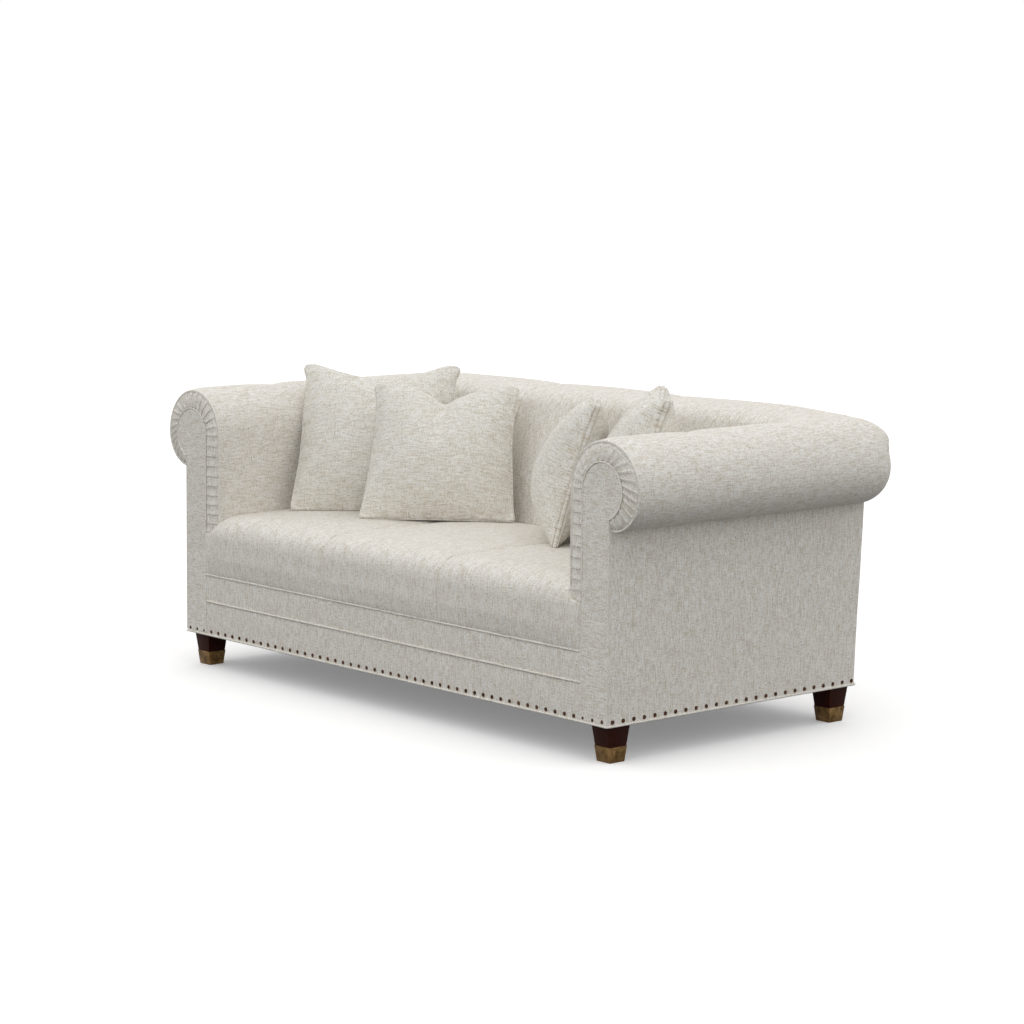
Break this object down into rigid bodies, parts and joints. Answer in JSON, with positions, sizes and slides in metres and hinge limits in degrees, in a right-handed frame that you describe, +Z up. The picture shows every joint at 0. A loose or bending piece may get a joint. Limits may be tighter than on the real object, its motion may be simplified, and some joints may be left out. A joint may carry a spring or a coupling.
{
  "type": "sofa",
  "caption": "Upholstered apartment sofa with rolled arms and back, tight bench seat, pleated arm fronts, nailhead trim and loose throw pillows.",
  "frame": {"origin": "on the floor, in the middle of the sofa's width and depth", "axes": "+X to the sofa's right as seen by someone facing its front, +Y from the front to the back, +Z up"},
  "size_m": [2.022, 0.992, 0.8585],
  "materials": {
    "timber": "planed kiln-dried hardwood, unfinished",
    "plywood": "sawn plywood with visible plies, unfinished",
    "bent_board": "thin bent hardboard, unfinished",
    "steel": "drawn steel, zinc plated",
    "lining": "non-woven synthetic cloth",
    "foam": "open-cell cushion foam",
    "linen": "warm grey and beige linen basket weave with slubs",
    "linen_trim": "the same linen cut on the bias over cord",
    "pillow_linen": "the same linen basket weave, soft and unlined",
    "antique_nails": "dark antique bronze, lightly worn on the crowns",
    "dark_wood": "espresso-brown stain under satin lacquer",
    "antique_brass": "aged brass, satin"
  },
  "bodies": {
    "sofa": {"front_rail": "timber", "back_rail": "timber", "left_side_rail": "timber", "right_side_rail": "timber", "seat_stretchers": "timber", "corner_blocks": "timber", "rear_spring_rail": "timber", "seat_springs": "steel", "spring_clips": "steel", "spring_insulator": "lining", "seat_foam": "foam", "seat_cover_left": "linen", "seat_cover_centre": "linen", "seat_cover_right": "linen", "left_arm_stump": "plywood", "right_arm_stump": "plywood", "left_arm_former": "plywood", "right_arm_former": "plywood", "left_arm_rail": "timber", "right_arm_rail": "timber", "left_arm_board": "bent_board", "right_arm_board": "bent_board", "left_arm_foam": "foam", "right_arm_foam": "foam", "left_arm_cover": "linen", "right_arm_cover": "linen", "left_arm_facing": "linen", "right_arm_facing": "linen", "left_pleated_band": "linen", "right_pleated_band": "linen", "left_arm_welt": "linen_trim", "right_arm_welt": "linen_trim", "left_outside_arm": "linen", "right_outside_arm": "linen", "back_formers": "plywood", "back_top_rail": "timber", "back_board": "bent_board", "back_webbing": "lining", "back_foam": "foam", "back_cover_left": "linen", "back_cover_centre": "linen", "back_cover_right": "linen", "outside_back": "linen", "front_border": "linen", "front_piping": "linen_trim", "base_welt": "linen_trim", "nailheads": "antique_nails", "dust_cover": "lining", "leg_bolts": "steel", "front_left_leg": "dark_wood", "front_right_leg": "dark_wood", "rear_left_leg": "dark_wood", "rear_right_leg": "dark_wood", "ferrules": "antique_brass"},
    "rear_left_throw": {"rear_left_pillow": "pillow_linen"},
    "front_left_throw": {"front_left_pillow": "pillow_linen"},
    "front_right_throw": {"front_right_pillow": "pillow_linen"},
    "rear_right_throw": {"rear_right_pillow": "pillow_linen"}
  },
  "joints": [
    {"name": "rear_left_lift", "type": "slide", "parent": "sofa", "child": "rear_left_throw", "axis": [-0.2745, 0.3214, 0.9063], "range_m": [0, 0.5]},
    {"name": "front_left_lift", "type": "slide", "parent": "sofa", "child": "front_left_throw", "axis": [-0.2745, 0.3214, 0.9063], "range_m": [0, 0.5]},
    {"name": "front_right_lift", "type": "slide", "parent": "sofa", "child": "front_right_throw", "axis": [0.1937, 0.219, 0.9563], "range_m": [0, 0.5]},
    {"name": "rear_right_lift", "type": "slide", "parent": "sofa", "child": "rear_right_throw", "axis": [0.1937, 0.219, 0.9563], "range_m": [0, 0.5]}
  ]
}
